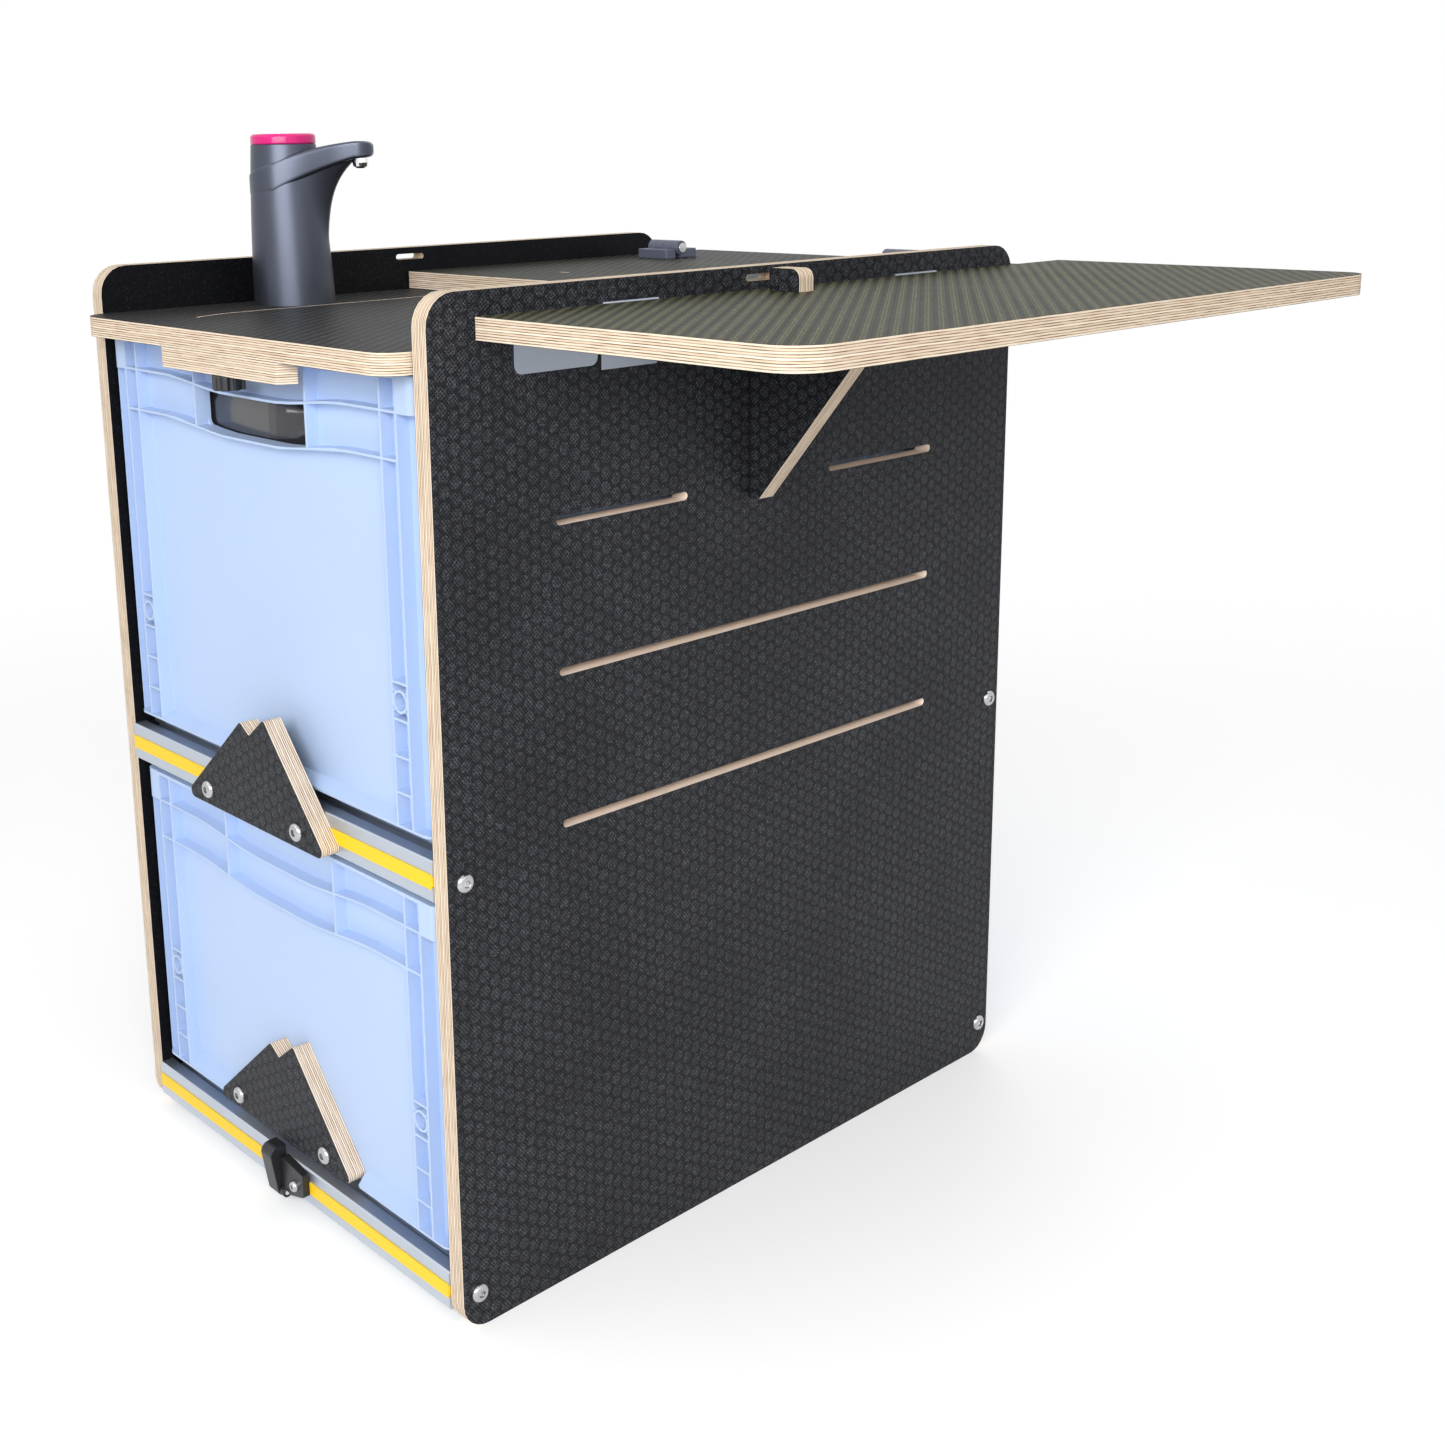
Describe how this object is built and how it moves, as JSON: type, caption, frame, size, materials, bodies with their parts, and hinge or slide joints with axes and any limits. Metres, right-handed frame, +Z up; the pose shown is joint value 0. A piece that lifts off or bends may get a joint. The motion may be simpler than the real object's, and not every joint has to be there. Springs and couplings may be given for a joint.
{
  "type": "campervan kitchen pod",
  "caption": "Campervan kitchen pod of black film plywood with stacking crates, lidded worktop, water pump and a folding side table.",
  "frame": {"origin": "Middle of the bounding box's base, on the surface that the pod stands on.", "axes": "+X points to the side with the folding table, +Y to the back, +Z up."},
  "size_m": [0.719, 0.6844, 0.822],
  "materials": {
    "film_ply": "black phenolic film on birch plywood, satin, fine mesh pattern",
    "bare_ply": "sawn birch plywood, fine layers",
    "aluminium": "natural anodised, satin",
    "strip": "yellow-orange cover strip",
    "bolt_steel": "bright steel",
    "hinge_steel": "satin steel",
    "hinge_plastic": "moulded, satin",
    "crate_plastic": "moulded, pale blue-grey, satin",
    "black_plastic": "moulded, satin",
    "canister_plastic": "glossy black",
    "pump_plastic": "satin charcoal",
    "ring_plastic": "clear magenta ring",
    "nozzle_chrome": "polished"
  },
  "bodies": {
    "carcass": {"bracket_hinge_panel_leaf": "hinge_steel", "bracket_hinge_pin": "bolt_steel", "catch_plate": "hinge_steel", "front_low_rail": "aluminium", "front_low_rail_bolt_left": "bolt_steel", "front_low_rail_bolt_right": "bolt_steel", "front_mid_rail": "aluminium", "front_mid_rail_bolt_left": "bolt_steel", "front_mid_rail_bolt_right": "bolt_steel", "front_stop_block": "bare_ply", "latch_base": "black_plastic", "latch_pin": "bolt_steel", "latch_screw": "bolt_steel", "left_panel": "film_ply", "lid_hinge_left_pin": "bolt_steel", "lid_hinge_left_rear_leaf": "hinge_plastic", "lid_hinge_right_pin": "bolt_steel", "lid_hinge_right_rear_leaf": "hinge_plastic", "low_strip_left": "strip", "low_strip_right": "strip", "mid_strip_left": "strip", "mid_strip_right": "strip", "rear_board": "film_ply", "rear_low_rail": "aluminium", "rear_low_rail_bolt_left": "bolt_steel", "rear_low_rail_bolt_right": "bolt_steel", "rear_mid_rail": "aluminium", "rear_mid_rail_bolt_left": "bolt_steel", "rear_mid_rail_bolt_right": "bolt_steel", "right_panel": "film_ply", "table_hinge_front_panel_leaf": "hinge_steel", "table_hinge_front_pin": "bolt_steel", "table_hinge_rear_panel_leaf": "hinge_steel", "table_hinge_rear_pin": "bolt_steel", "top_crate": "crate_plastic", "top_plate_bolt_left": "bolt_steel", "top_plate_bolt_right": "bolt_steel", "top_stop_plate": "film_ply", "water_canister": "canister_plastic", "worktop": "film_ply"},
    "crate_drawer": {"low_crate": "crate_plastic", "crate_front_plate": "film_ply", "crate_plate_bolt_left": "bolt_steel", "crate_plate_bolt_right": "bolt_steel"},
    "latch": {"latch_lever": "black_plastic"},
    "lid": {"lid_board": "film_ply", "lid_hinge_left_front_leaf": "hinge_plastic", "lid_hinge_right_front_leaf": "hinge_plastic"},
    "table": {"side_table": "film_ply", "table_block": "film_ply", "table_hinge_front_table_leaf": "hinge_steel", "table_hinge_rear_table_leaf": "hinge_steel"},
    "bracket": {"table_bracket": "film_ply", "bracket_hinge_bracket_leaf": "hinge_steel"},
    "pump": {"pump_body": "pump_plastic", "pump_nozzle": "nozzle_chrome", "pump_ring": "ring_plastic"},
    "button": {"pump_button": "pump_plastic"},
    "knob": {"clamp_knob": "black_plastic"}
  },
  "joints": [
    {"name": "crate_slide", "type": "slide", "parent": "carcass", "child": "crate_drawer", "axis": [0, -1, 0], "range_m": [0, 0.45]},
    {"name": "latch_lever_turn", "type": "hinge", "parent": "carcass", "child": "latch", "pos_m": [-0.1455, -0.32575, 0.0145], "axis": [1, 0, 0], "range_deg": [0, 90]},
    {"name": "lid_turn", "type": "hinge", "parent": "carcass", "child": "lid", "pos_m": [-0.1355, 0.23725, 0.7118], "axis": [-1, 0, 0], "range_deg": [0, 170]},
    {"name": "table_fold", "type": "hinge", "parent": "carcass", "child": "table", "pos_m": [0.0867, 0.02925, 0.7062], "axis": [0, -1, 0], "range_deg": [0, 90]},
    {"name": "bracket_swing", "type": "hinge", "parent": "carcass", "child": "bracket", "pos_m": [0.0867, -0.01725, 0.627], "axis": [0, 0, 1], "range_deg": [0, 90]},
    {"name": "pump_swivel", "type": "hinge", "parent": "carcass", "child": "pump", "pos_m": [-0.297, -0.16925, 0.7], "axis": [0, 0, 1], "continuous": true},
    {"name": "button_press", "type": "slide", "parent": "pump", "child": "button", "axis": [0, 0, -1], "range_m": [0, 0.0015], "stiffness_N_per_m": 400, "springref_m": -0.0005},
    {"name": "knob_turn", "type": "hinge", "parent": "carcass", "child": "knob", "pos_m": [-0.1335, -0.33075, 0.65], "axis": [0, 0, 1], "continuous": true}
  ]
}
